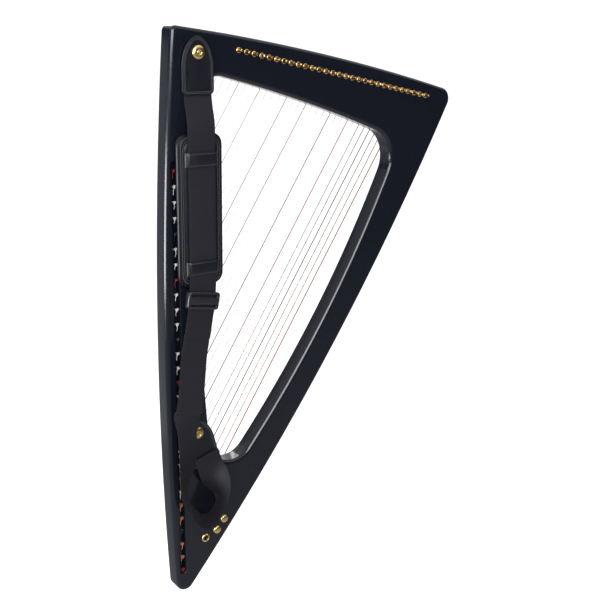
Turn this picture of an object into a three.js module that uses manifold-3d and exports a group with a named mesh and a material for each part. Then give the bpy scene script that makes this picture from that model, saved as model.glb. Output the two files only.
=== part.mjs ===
// A solid-body electric harp on a shoulder strap, in millimetres, +Z up.
// The origin is the seat of the upper strap button on the front face. X runs right, away from the
// soundbar, and Y runs into the body, so the front face is y = 0 and the strings are behind the body.
import * as THREE from "three";
import { mergeVertices } from "three/addons/utils/BufferGeometryUtils.js";
import Module from "manifold-3d";

const wasm = await Module();
wasm.setup();

// ---------- driving dimensions ----------
const GAP = 0.3; // clearance between touching pieces
const THICKNESS = 36; // of the body
const EDGE = 7; // rounding of the body's edges
const OUTLINE_STEPS = 10; // straight stretches in each side and each corner of the body's outlines

// The body's corners in X-Z. round is the corner's radius, and bow is how far the side to the
// next corner bulges away from the body's middle.
const OUTER = [
  { x: -42, z: 42, round: 9, bow: 11 },
  { x: 572.5, z: -77, round: 18, bow: 34 },
  { x: -51, z: -977, round: 13, bow: 18.5 },
];
const OPENING = [
  { x: 14, z: -30, round: 28, bow: 8.5 },
  { x: 436.5, z: -163, round: 46, bow: 32 },
  { x: 31, z: -779.5, round: 32, bow: 20 },
];

// The tuning pins stand in one straight row, and each string leaves its pin at the same angle.
const STRINGS = 29;
const FIRST_PIN = { x: 80, z: 2.5 };
const LAST_PIN = { x: 496.5, z: -82.8 };
const STRING_ANGLE = THREE.MathUtils.degToRad(33.1); // from vertical, down and to the left
const DOWN = { x: -Math.sin(STRING_ANGLE), z: -Math.cos(STRING_ANGLE) };
const ACROSS = { x: Math.cos(STRING_ANGLE), z: -Math.sin(STRING_ANGLE) };
const PIN_RADIUS = 3;
const PIN_SIDES = 8;
const PIN_HOLE = 3.5; // radius
const PIN_FRONT = -10.5; // the square end that the tuning key fits
const PIN_BACK = THICKNESS + 22;
const STRING_AT_PIN = THICKNESS + 14;
const STRING_AT_BRIDGE = THICKNESS + 11.2;

// String channel in the front face, bridge and anchor strip on the back face.
const CHANNEL = { x: -42.5, width: 11, depth: 14, top: -168, bottom: -914 };
const ANCHOR = { x: -41.5, width: 9, thick: 2 };
const BRIDGE = { x: -21, width: 8, ridge: 1.2, height: 10, pickup: 1.4, overhang: 12 };

// Levers sit on the C and F strings only.
const LEVER_STRINGS = [5, 8, 12, 15, 19, 22, 26, 29];
const LEVER = { along: 28, across: 6.5, peg: 4.2, pegRadius: 1, handle: 16, y: THICKNESS + 16 };

// Electronics bay in the lower block, along the pillar's outer edge.
const BAY = { x: 23.4, z: -841.9, angle: 39.8, low: -36, high: 95, half: 15, wall: 6, ledge: 3.5 };
const COVER_THICK = 2.6;
const KNOBS = [
  { name: "volume", x: 40.6, z: -826.1 },
  { name: "tone", x: 25.5, z: -843.7 },
];
const JACK = { x: 4.1, z: -856.3 };

// Strap. The tab hangs on the button, and its own origin is the button's centre.
const LOWER_BUTTON = { x: -12.5, z: -642.5 };
const TAB = { half: 29, top: 25, bottom: -66, arch: -24, corner: 9, front: -7, thick: 3 };
const LOWER_TAB_TURN = THREE.MathUtils.degToRad(15);
const WEB = { half: 25, thick: 2, front: -20.6 };
const STRAP_X = -3.5; // centre line of the strap below the upper tab
const PAD = { half: 42.5, top: -124, bottom: -376, front: -17.5, back: -3.5, corner: 17 };
const KEEPERS = [-166, -344];
const KEEPER = { tall: 24, half: 30, front: -23.6 };
const SLIDER = { x: -5.5, z: -400, half: 31.5, tall: 30, bar: 4.5, turn: 10 };
const SLIDE_END = 72; // the straight webbing reaches this far below the slider's centre

// ---------- solids ----------
function solid(geometry) {
  const bare = geometry.clone();
  bare.deleteAttribute("normal");
  bare.deleteAttribute("uv");
  const merged = mergeVertices(bare, 1e-3);
  return new wasm.Manifold(
    new wasm.Mesh({
      numProp: 3,
      vertProperties: merged.attributes.position.array,
      triVerts: new Uint32Array(merged.index.array),
    }),
  );
}

function geometryOf(manifold) {
  const mesh = manifold.getMesh();
  return new THREE.BufferGeometry()
    .setAttribute("position", new THREE.BufferAttribute(mesh.vertProperties, 3))
    .setIndex(new THREE.BufferAttribute(mesh.triVerts, 1));
}

const join = (...pieces) => pieces.reduce((whole, piece) => whole.add(piece));
const cut = (whole, ...tools) => tools.reduce((left, tool) => left.subtract(tool), whole);

// A flat piece: an outline in the X-Z plane between the depths front and back, with rounded edges.
function plate(shape, front, back, round = 0, segments = 8, bevels = 3) {
  const geometry = new THREE.ExtrudeGeometry(shape, {
    depth: back - front - 2 * round,
    bevelEnabled: round > 0,
    bevelThickness: round,
    bevelSize: round,
    bevelOffset: -round,
    bevelSegments: bevels,
    curveSegments: segments,
  });
  return geometry.rotateX(Math.PI / 2).translate(0, back - round, 0);
}

function box(x0, x1, y0, y1, z0, z1) {
  return new THREE.BoxGeometry(x1 - x0, y1 - y0, z1 - z0).translate(
    (x0 + x1) / 2,
    (y0 + y1) / 2,
    (z0 + z1) / 2,
  );
}

// A round bar along Y.
function bar(x, z, radius, front, back, sides = 12) {
  return new THREE.CylinderGeometry(radius, radius, back - front, sides).translate(
    x,
    (front + back) / 2,
    z,
  );
}

// A turned piece with its axis along Y. The profile is a list of [radius, y] from front to back.
function turned(x, z, profile, sides = 16) {
  const points = profile.map(([radius, y]) => new THREE.Vector2(radius, y));
  return new THREE.LatheGeometry(points, sides).translate(x, 0, z);
}

// ---------- outlines ----------
const mixed = (a, b, t) => a.clone().lerp(b, t);

// The control points of the stretch from s to t of the curve a, b, c.
function stretch([a, b, c], s, t) {
  const at = (u, v) => mixed(mixed(a, b, u), mixed(b, c, u), v);
  return [at(s, s), at(s, t), at(t, t)];
}

// A closed outline of bowed sides that meet in rounded corners.
function bowedOutline(corners) {
  const count = corners.length;
  const points = corners.map((corner) => new THREE.Vector2(corner.x, corner.z));
  const middle = points
    .reduce((sum, point) => sum.add(point), new THREE.Vector2())
    .divideScalar(count);
  const cuts = points.map((point, i) => {
    const before = points[(i + count - 1) % count].clone().sub(point).normalize();
    const after = points[(i + 1) % count].clone().sub(point).normalize();
    return corners[i].round / Math.tan(Math.acos(before.dot(after)) / 2);
  });
  const sides = points.map((start, i) => {
    const end = points[(i + 1) % count];
    const along = end.clone().sub(start);
    const length = along.length();
    const out = new THREE.Vector2(-along.y, along.x).normalize();
    if (out.dot(mixed(start, end, 0.5).sub(middle)) < 0) out.negate();
    const control = mixed(start, end, 0.5).addScaledVector(out, 2 * corners[i].bow);
    const next = (i + 1) % count;
    return stretch([start, control, end], cuts[i] / length, 1 - cuts[next] / length);
  });
  const shape = new THREE.Shape().moveTo(...sides[0][0].toArray());
  sides.forEach(([, control, end], i) => {
    const [nextStart, nextControl] = sides[(i + 1) % count];
    shape.quadraticCurveTo(...control.toArray(), ...end.toArray());
    roundCorner(shape, control, end, nextStart, nextControl);
  });
  return new THREE.Shape(shape.getPoints(OUTLINE_STEPS).slice(0, -1));
}

// The corner from end to start, tangent to the side that came from before and the one that goes on
// to after, close to a circular arc.
function roundCorner(shape, before, end, start, after) {
  const inward = end.clone().sub(before).normalize();
  const outward = after.clone().sub(start).normalize();
  const turn = Math.acos(inward.dot(outward));
  const handle = ((2 / 3) * Math.tan(turn / 4) * end.distanceTo(start)) / Math.sin(turn / 2);
  const first = end.clone().addScaledVector(inward, handle);
  const last = start.clone().addScaledVector(outward, -handle);
  shape.bezierCurveTo(...first.toArray(), ...last.toArray(), ...start.toArray());
}

// A rectangle with round corners, from its middle.
function roundedRectangle(halfWidth, halfHeight, corner, x = 0, z = 0) {
  const [left, right, low, high] = [x - halfWidth, x + halfWidth, z - halfHeight, z + halfHeight];
  return new THREE.Shape()
    .moveTo(left + corner, low)
    .lineTo(right - corner, low)
    .absarc(right - corner, low + corner, corner, -Math.PI / 2, 0)
    .lineTo(right, high - corner)
    .absarc(right - corner, high - corner, corner, 0, Math.PI / 2)
    .lineTo(left + corner, high)
    .absarc(left + corner, high - corner, corner, Math.PI / 2, Math.PI)
    .lineTo(left, low + corner)
    .absarc(left + corner, low + corner, corner, Math.PI, 1.5 * Math.PI);
}

function polygon(points) {
  return new THREE.Shape(points.map(([x, z]) => new THREE.Vector2(x, z)));
}

// ---------- positions ----------
function pinPlace(number) {
  const share = (number - 1) / (STRINGS - 1);
  return {
    x: THREE.MathUtils.lerp(FIRST_PIN.x, LAST_PIN.x, share),
    z: THREE.MathUtils.lerp(FIRST_PIN.z, LAST_PIN.z, share),
  };
}

// Where a string crosses the vertical line at x.
function stringHeight(number, x) {
  const pin = pinPlace(number);
  return pin.z + ((x - pin.x) * DOWN.z) / DOWN.x;
}

const numbers = Array.from({ length: STRINGS }, (_, i) => i + 1);

// A piece drawn along the bay's own axes, turned and moved to its place.
function inBay(geometry) {
  return geometry.rotateY(THREE.MathUtils.degToRad(BAY.angle)).translate(BAY.x, 0, BAY.z);
}

// ---------- body ----------
function bodyBlank() {
  const shape = bowedOutline(OUTER);
  shape.holes.push(new THREE.Path(bowedOutline(OPENING).getPoints().reverse()));
  return solid(plate(shape, 0, THICKNESS, EDGE));
}

function channelTool() {
  const half = CHANNEL.width / 2;
  const middle = (CHANNEL.top + CHANNEL.bottom) / 2;
  const tall = (CHANNEL.top - CHANNEL.bottom) / 2;
  const shape = roundedRectangle(half, tall, half - 0.1, CHANNEL.x, middle);
  return solid(plate(shape, -1, CHANNEL.depth, 0, 6));
}

function bayTools() {
  const middle = (BAY.low + BAY.high) / 2;
  const length = (BAY.high - BAY.low) / 2;
  const hollow = roundedRectangle(BAY.half, length, 6, 0, middle);
  const rebate = roundedRectangle(BAY.half + BAY.ledge, length + BAY.ledge, 8, 0, middle);
  return [
    solid(inBay(plate(hollow, BAY.wall, THICKNESS + 1, 0, 4))),
    solid(inBay(plate(rebate, THICKNESS - COVER_THICK - GAP, THICKNESS + 1, 0, 4))),
    ...KNOBS.map((knob) => solid(bar(knob.x, knob.z, 4, -1, BAY.wall + 1))),
    solid(bar(JACK.x, JACK.z, 5, -1, BAY.wall + 1)),
  ];
}

// The seams where the three frame pieces are glued: below the neck's left corner, across the
// lower end of the pillar, and on the mitre between neck and pillar.
function seam(x0, z0, x1, z1) {
  const length = Math.hypot(x1 - x0, z1 - z0);
  return box(0, length, -1, THICKNESS + 1, -GAP / 2, GAP / 2)
    .rotateY(-Math.atan2(z1 - z0, x1 - x0))
    .translate(x0, 0, z0);
}

function framePieces() {
  const pinHoles = numbers.map((number) => {
    const pin = pinPlace(number);
    return solid(bar(pin.x, pin.z, PIN_HOLE, -1, THICKNESS + 1, PIN_SIDES));
  });
  const screwHoles = [{ x: 0, z: 0 }, LOWER_BUTTON].map((button) =>
    solid(bar(button.x, button.z, 2.6, -1, 26, 8)),
  );
  const seams = [
    seam(-80, -84, 40, -84),
    seam(75, -690, 190, -766),
    seam(400, -187, 600, -62),
  ];
  const whole = cut(
    bodyBlank(),
    ...pinHoles,
    ...screwHoles,
    channelTool(),
    ...bayTools(),
    ...seams.map(solid),
  );
  const pieces = whole.decompose();
  const holding = (x, z) => {
    const probe = solid(bar(x, z, 0.4, THICKNESS - 1, THICKNESS - 0.5, 6));
    return pieces.find((piece) => !piece.intersect(probe).isEmpty());
  };
  return {
    neck: holding(300, -70),
    soundbar: holding(-25, -400),
    pillar: holding(300, -480),
  };
}

// ---------- strings, pins and levers ----------
function tuningPin(number) {
  const pin = pinPlace(number);
  const shank = bar(pin.x, pin.z, PIN_RADIUS, -2.5, PIN_BACK, PIN_SIDES);
  const square = bar(pin.x, pin.z, 2.9, PIN_FRONT, -2, 4);
  return join(solid(shank), solid(square));
}

// A straight string between two points, drawn with a square section.
function rod(from, to, radius) {
  const along = to.clone().sub(from);
  const geometry = new THREE.CylinderGeometry(radius, radius, along.length(), 4);
  const turn = new THREE.Quaternion().setFromUnitVectors(
    new THREE.Vector3(0, 1, 0),
    along.clone().normalize(),
  );
  const middle = from.clone().add(to).multiplyScalar(0.5);
  return geometry.applyQuaternion(turn).translate(middle.x, middle.y, middle.z);
}

function stringRadius(number) {
  return THREE.MathUtils.lerp(0.35, 0.95, (number - 1) / (STRINGS - 1));
}

function stringSet() {
  const back = THICKNESS + GAP;
  const low = stringHeight(STRINGS, ANCHOR.x) - 9;
  const high = stringHeight(1, ANCHOR.x) + 9;
  const half = ANCHOR.width / 2;
  const strip = box(ANCHOR.x - half, ANCHOR.x + half, back, back + ANCHOR.thick, low, high);
  const rods = numbers.flatMap((number) => {
    const radius = stringRadius(number);
    const pin = pinPlace(number);
    const clear = PIN_RADIUS + radius + GAP + 0.2;
    const top = new THREE.Vector3(
      pin.x + DOWN.x * clear,
      STRING_AT_PIN,
      pin.z + DOWN.z * clear,
    );
    const y = STRING_AT_BRIDGE + radius;
    const over = new THREE.Vector3(BRIDGE.x, y, stringHeight(number, BRIDGE.x));
    const end = new THREE.Vector3(ANCHOR.x, back + 1, stringHeight(number, ANCHOR.x));
    const past = over.clone().add(over.clone().sub(top).normalize().multiplyScalar(0.5));
    return [solid(rod(past, top, radius)), solid(rod(end, over, radius))];
  });
  return join(solid(strip), ...rods);
}

// A rail that runs under all the strings, from the outline of its cross-section in X-Y.
function rail(section) {
  const low = stringHeight(STRINGS, BRIDGE.x) - BRIDGE.overhang;
  const high = stringHeight(1, BRIDGE.x) + BRIDGE.overhang;
  const shape = new THREE.Shape(section.map(([x, y]) => new THREE.Vector2(BRIDGE.x + x, y)));
  return new THREE.ExtrudeGeometry(shape, { depth: high - low, bevelEnabled: false }).translate(
    0,
    0,
    low,
  );
}

function pickupStrip() {
  const [front, half] = [THICKNESS + GAP, BRIDGE.width / 2 - 0.5];
  const rear = front + BRIDGE.pickup;
  return rail([[-half, front], [half, front], [half, rear], [-half, rear]]);
}

// The bridge narrows to the ridge that the strings bear on.
function bridge() {
  const [front, half] = [THICKNESS + BRIDGE.pickup + 2 * GAP, BRIDGE.width / 2];
  const top = THICKNESS + BRIDGE.height;
  const shoulder = front + 2;
  return rail([
    [-half, front],
    [half, front],
    [half, shoulder],
    [BRIDGE.ridge, top],
    [-BRIDGE.ridge, top],
    [-half, shoulder],
  ]);
}

function lever(number) {
  const pin = pinPlace(number);
  const { along, across, peg, pegRadius, handle, y } = LEVER;
  const x = pin.x + DOWN.x * along + ACROSS.x * across;
  const z = pin.z + DOWN.z * along + ACROSS.z * across;
  const boss = bar(x, z, 3, THICKNESS + GAP, y + 2.4);
  const arm = box(-2.6, 2.6, y, y + 2.4, 0, handle)
    .rotateY(Math.PI + STRING_ANGLE)
    .translate(x, 0, z);
  const fret = bar(x + DOWN.x * peg, z + DOWN.z * peg, pegRadius, THICKNESS + 10, y + 1, 8);
  return join(solid(boss), solid(arm), solid(fret));
}

// ---------- electronics ----------
function bayBox(x0, x1, y0, y1, z0, z1) {
  return inBay(box(x0, x1, y0, y1, z0, z1));
}

function rearCover() {
  const middle = (BAY.low + BAY.high) / 2;
  const length = (BAY.high - BAY.low) / 2 + BAY.ledge - GAP;
  const shape = roundedRectangle(BAY.half + BAY.ledge - GAP, length, 7.7, 0, middle);
  return inBay(plate(shape, THICKNESS - COVER_THICK, THICKNESS, 0, 4));
}

function pot(place) {
  const y = BAY.wall + GAP;
  return turned(place.x, place.z, [
    [2.9, -1],
    [3.6, -1],
    [3.6, y],
    [8, y],
    [8, y + 10],
    [0, y + 10],
    [0, y + 8],
    [2.9, y + 8],
    [2.9, -1],
  ]);
}

function knob(place) {
  return turned(place.x, place.z, [
    [0, -10],
    [4, -9.6],
    [6.6, -8.2],
    [7.6, -6],
    [7.6, -1.6],
    [2.5, -1.6],
    [2.5, 12],
    [0, 12],
  ], 20);
}

function jackSocket() {
  const y = BAY.wall + GAP;
  return turned(JACK.x, JACK.z, [
    [3.2, -2.4],
    [4.6, -2.4],
    [4.6, y],
    [8, y],
    [8, y + 22],
    [0, y + 22],
    [0, y + 20],
    [3.2, y + 20],
    [3.2, -2.4],
  ]);
}

function jackNut() {
  return turned(JACK.x, JACK.z, [
    [4.9, -2.8],
    [6.9, -2.8],
    [8, -1.8],
    [8, -GAP],
    [4.9, -GAP],
    [4.9, -2.8],
  ], 20);
}

// ---------- strap ----------
// Foot, neck, domed head and the wood screw behind it.
function strapButton(place) {
  return turned(place.x, place.z, [
    [0, -12],
    [6, -11.6],
    [9.6, -10.4],
    [11, -9],
    [10.4, -7.9],
    [4, -7.4],
    [4, -3.4],
    [7.5, -2.4],
    [7.5, -GAP],
    [2.3, -GAP],
    [2.3, 22],
    [0, 25],
  ]);
}

function tabShape() {
  const { half, top, bottom, arch, corner } = TAB;
  const shape = new THREE.Shape()
    .moveTo(-half + corner, bottom)
    .lineTo(half - corner, bottom)
    .absarc(half - corner, bottom + corner, corner, -Math.PI / 2, 0)
    .lineTo(half, arch)
    .bezierCurveTo(half, 6, 13, top, 0, top)
    .bezierCurveTo(-13, top, -half, 6, -half, arch)
    .lineTo(-half, bottom + corner)
    .absarc(-half + corner, bottom + corner, corner, Math.PI, 1.5 * Math.PI);
  const hole = new THREE.Path().absarc(0, 0, 4.6, 0, 2 * Math.PI, true);
  shape.holes.push(hole);
  return shape;
}

function strapTab(place, turn) {
  return plate(tabShape(), TAB.front, TAB.front + TAB.thick, 0.8, 5, 1)
    .rotateY(-turn)
    .translate(place.x, 0, place.z);
}

// The webbing leaves the back of the tab, comes forward over the pad and runs straight down to the
// slider, where it leans to the left.
function webbingUpper() {
  const behind = TAB.front + TAB.thick + GAP;
  const { front, thick, half } = WEB;
  const side = polygon([
    [behind, TAB.bottom + 26],
    [behind, TAB.bottom - 2],
    [front, TAB.bottom - 24],
    [front, PAD.bottom - 8],
    [front + thick, PAD.bottom - 8],
    [front + thick, TAB.bottom - 25],
    [behind + thick, TAB.bottom - 3],
    [behind + thick, TAB.bottom + 26],
  ]);
  const upright = new THREE.ExtrudeGeometry(side, { depth: 2 * half, bevelEnabled: false });
  // The profile's own x is depth and its own y is height.
  upright.applyMatrix4(
    new THREE.Matrix4().set(0, 0, 1, STRAP_X - half, 1, 0, 0, 0, 0, 1, 0, 0, 0, 0, 0, 1),
  );
  return join(solid(upright), solid(slidePiece(-half, half, front, front + thick, -SLIDE_END, 14)));
}

// A box drawn along the slider's own axes.
function slidePiece(x0, x1, y0, y1, z0, z1) {
  return box(x0, x1, y0, y1, z0, z1)
    .rotateY(THREE.MathUtils.degToRad(SLIDER.turn))
    .translate(SLIDER.x, 0, SLIDER.z);
}

// Two rails in front of the webbing, a bar behind it, and the cheeks that hold them together.
function strapSlider() {
  const { half, tall, bar: rail } = SLIDER;
  const [front, back] = [WEB.front - 5, WEB.front + WEB.thick + 4];
  const high = tall / 2;
  const whole = solid(slidePiece(-half, half, front, back, -high, high));
  const inner = half - 5;
  const windows = [
    slidePiece(-inner, inner, front - 1, WEB.front + WEB.thick + GAP, -high + rail, high - rail),
    slidePiece(-inner, inner, WEB.front - GAP, back + 1, -high - 1, -4),
    slidePiece(-inner, inner, WEB.front - GAP, back + 1, 4, high + 1),
    slidePiece(-inner, inner, WEB.front - GAP, WEB.front + WEB.thick + GAP, -high - 1, high + 1),
  ];
  return cut(whole, ...windows.map(solid));
}

function shoulderPad() {
  const { half, top, bottom, front, back, corner } = PAD;
  const shape = roundedRectangle(half, (top - bottom) / 2, corner, STRAP_X, (top + bottom) / 2);
  const cushion = solid(plate(shape, front, back, 4, 5));
  const loops = KEEPERS.flatMap((z) => {
    const [low, high] = [z - KEEPER.tall / 2, z + KEEPER.tall / 2];
    const [left, right] = [STRAP_X - KEEPER.half, STRAP_X + KEEPER.half];
    return [solid(box(left, right, KEEPER.front, front + 1, low, high))];
  });
  const tunnel = box(
    STRAP_X - WEB.half - 0.6,
    STRAP_X + WEB.half + 0.6,
    WEB.front - 0.6,
    front,
    bottom - 5,
    top + 5,
  );
  return cut(join(cushion, ...loops), solid(tunnel));
}

// The lower webbing hangs in a loop below the lower button: down on the left in front of the lower
// tab, round at the bottom, and up on the right to the tab's lower end.
function webbingLower() {
  const limbs = new THREE.Shape()
    .moveTo(-42.5, -467.6)
    .bezierCurveTo(-52, -530, -62, -590, -60, -650)
    .bezierCurveTo(-59, -700, -54, -750, -46, -772)
    .bezierCurveTo(-36, -800, -28, -820, -10, -820)
    .bezierCurveTo(14, -820, 38, -780, 38, -712)
    .lineTo(-10, -712)
    .bezierCurveTo(-8, -740, -20, -764, -32, -766)
    .bezierCurveTo(-38, -740, -22, -700, -14, -650)
    .bezierCurveTo(-12, -600, 0, -530, 6.5, -476.2);
  const belly = new THREE.Shape()
    .moveTo(-46, -772)
    .bezierCurveTo(-36, -800, -28, -820, -10, -820)
    .bezierCurveTo(10, -820, 28, -790, 33, -755)
    .bezierCurveTo(0, -770, -30, -765, -46, -772);
  const front = WEB.front - 3;
  return join(
    solid(plate(limbs, front, -12.5, 0, 6)),
    solid(plate(belly, front - 14, -8, 0, 6)),
  );
}

// ---------- assembly ----------
const lacquer = { color: 0x0b0d12, roughness: 0.25, metalness: 0 };
const gold = { color: 0xe2b54a, roughness: 0.25, metalness: 1 };
const steel = { color: 0xb8bcc0, roughness: 0.35, metalness: 1 };
const brass = { color: 0xb48a3c, roughness: 0.4, metalness: 1 };
const nylon = { color: 0xd8d8d0, roughness: 0.5, metalness: 0 };
const leather = { color: 0x17171a, roughness: 0.5, metalness: 0 };
const webbing = { color: 0x1b1a20, roughness: 0.8, metalness: 0 };
const plastic = { color: 0x101012, roughness: 0.45, metalness: 0 };
const board = { color: 0x1d4a2c, roughness: 0.6, metalness: 0 };
const rosewood = { color: 0x2a1a12, roughness: 0.5, metalness: 0 };

const harp = new THREE.Group();

function add(name, shape, finish) {
  const geometry = shape.isBufferGeometry ? shape : geometryOf(shape);
  const mesh = new THREE.Mesh(geometry, new THREE.MeshStandardMaterial(finish));
  mesh.name = name;
  harp.add(mesh);
}

const two = (number) => String(number).padStart(2, "0");

Object.entries(framePieces()).forEach(([name, piece]) => add(name, piece, lacquer));
numbers.forEach((number) => add(`tuning_pin_${two(number)}`, tuningPin(number), gold));
LEVER_STRINGS.forEach((number) => add(`lever_${two(number)}`, lever(number), brass));
add("string_set", stringSet(), nylon);
add("pickup_strip", pickupStrip(), steel);
add("bridge", bridge(), rosewood);
add("rear_cover", rearCover(), plastic);
add("preamp_board", bayBox(-12.5, 12.5, 8, 9.6, 36, 92), board);
add("battery", bayBox(-13, 13, 13, 30, 38, 86.5), steel);
KNOBS.forEach((place) => {
  add(`${place.name}_pot`, pot(place), steel);
  add(`${place.name}_knob`, knob(place), gold);
});
add("jack_socket", jackSocket(), steel);
add("jack_nut", jackNut(), gold);
add("upper_strap_button", strapButton({ x: 0, z: 0 }), gold);
add("lower_strap_button", strapButton(LOWER_BUTTON), gold);
add("upper_strap_tab", strapTab({ x: 0, z: 0 }, 0), leather);
add("lower_strap_tab", strapTab(LOWER_BUTTON, LOWER_TAB_TURN), leather);
add("webbing_upper", webbingUpper(), webbing);
add("webbing_lower", webbingLower(), webbing);
add("strap_slider", strapSlider(), plastic);
add("shoulder_pad", shoulderPad(), leather);

export default harp;
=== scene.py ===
"""Looks of the solid-body lever harp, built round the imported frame.
Lengths are in millimetres until a mesh is made, and each mesh is in metres in the frame's axes."""
import random
from math import acos, atan2, cos, exp, pi, radians, sin, tan

import bmesh
import bpy
from mathutils import Matrix, Vector
from mathutils.geometry import tessellate_polygon


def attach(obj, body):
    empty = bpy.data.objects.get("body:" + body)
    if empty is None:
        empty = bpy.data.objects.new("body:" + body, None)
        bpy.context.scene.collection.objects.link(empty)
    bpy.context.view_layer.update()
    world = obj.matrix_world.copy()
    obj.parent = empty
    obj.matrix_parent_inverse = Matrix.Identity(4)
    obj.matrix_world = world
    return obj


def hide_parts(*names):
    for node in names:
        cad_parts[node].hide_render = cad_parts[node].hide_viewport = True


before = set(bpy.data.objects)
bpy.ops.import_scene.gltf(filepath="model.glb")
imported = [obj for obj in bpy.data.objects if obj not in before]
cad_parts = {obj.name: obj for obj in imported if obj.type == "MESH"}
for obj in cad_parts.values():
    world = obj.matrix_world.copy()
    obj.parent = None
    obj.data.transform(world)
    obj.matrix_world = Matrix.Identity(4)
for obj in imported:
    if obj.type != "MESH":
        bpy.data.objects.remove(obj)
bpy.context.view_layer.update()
MM = 0.001
TAU = 2 * pi
AXIS = 0.01  # the radius at which a turned profile closes, so that no face has zero width

# ---------- camera ----------
CAMERA_AT = (-0.78242, -1.34749, 0.04929)
YAW = 0.634869
PITCH = 0.283792
ROLL = 0.0146036
LENS = 57.43
SENSOR = 36


def show(placed):
    bpy.context.scene.collection.objects.link(placed)


def make_camera():
    forward = Vector(
        (sin(YAW) * cos(PITCH), cos(YAW) * cos(PITCH), -sin(PITCH))
    )
    level = Vector((cos(YAW), -sin(YAW), 0))
    up = level.cross(forward)
    right = level * cos(ROLL) + up * sin(ROLL)
    top = up * cos(ROLL) - level * sin(ROLL)
    data = bpy.data.cameras.new("camera")
    data.lens = LENS
    data.sensor_width = SENSOR
    camera = bpy.data.objects.new("camera", data)
    turn = Matrix((right, top, -forward)).transposed().to_4x4()
    turn.translation = CAMERA_AT
    camera.matrix_world = turn
    show(camera)
    bpy.context.scene.camera = camera


make_camera()

# ---------- sizes, the same as the frame's own ----------
THICKNESS = 36
EDGE = 7
OUTER = [(-42, 42, 9, 11), (572.5, -77, 18, 34), (-51, -977, 13, 18.5)]
OPENING = [(14, -30, 28, 8.5), (436.5, -163, 46, 32), (31, -779.5, 32, 20)]
STRINGS = 29
FIRST_WOUND = 24
FIRST_PIN = (80, 2.5)
LAST_PIN = (496.5, -82.8)
STRING_ANGLE = radians(33.1)
DOWN = Vector((-sin(STRING_ANGLE), 0, -cos(STRING_ANGLE)))
ACROSS = Vector((cos(STRING_ANGLE), 0, -sin(STRING_ANGLE)))
THINNEST, THICKEST = 0.35, 0.95  # radii of the first and the last string
PIN_RADIUS = 3
PIN_HOLE = 3.5
PIN_FRONT = -10.5
PIN_BACK = 58
STRING_AT_PIN = 50
STRING_AT_BRIDGE = 47.2
CHANNEL_X = -42.5
CHANNEL_HALF = 5.5
CHANNEL_TOP = -168
CHANNEL_BOTTOM = -914
CHANNEL_DEPTH = 14
CHANNEL_RIM = 1.2
ANCHOR_X = -41.5
BRIDGE_X = -21
LEVER_STRINGS = (5, 8, 12, 15, 19, 22, 26, 29)
LEVER_ALONG = 28
LEVER_ACROSS = 6.5
LEVER_PEG = 4.2
LEVER_Y = 52
BAY_AT = (23.4, -841.9)
BAY_TURN = radians(39.8)
BAY_LOW, BAY_HIGH, BAY_HALF, BAY_WALL, BAY_LEDGE = -36, 95, 15, 6, 3.5
COVER = 2.6
KNOBS = {"volume": (40.6, -826.1), "tone": (25.5, -843.7)}
JACK = (4.1, -856.3)
KNOB_HOLE, JACK_HOLE = 4, 5
UPPER_BUTTON = (0, 0)
LOWER_BUTTON = (-12.5, -642.5)
STRAP_X = -3.5
WEB_HALF = 25
WEB_THICK = 1.6
WEB_Y = -19.6
PAD_HALF, PAD_TOP, PAD_BOTTOM, PAD_CORNER = 42.5, -124, -376, 17
PAD_FRONT, PAD_BACK = -17.5, -3.5
KEEPERS = (-166, -344)
SLIDER = (-5.5, -400)
SLIDER_TURN = radians(10)
NUMBERS = range(1, STRINGS + 1)


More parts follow.
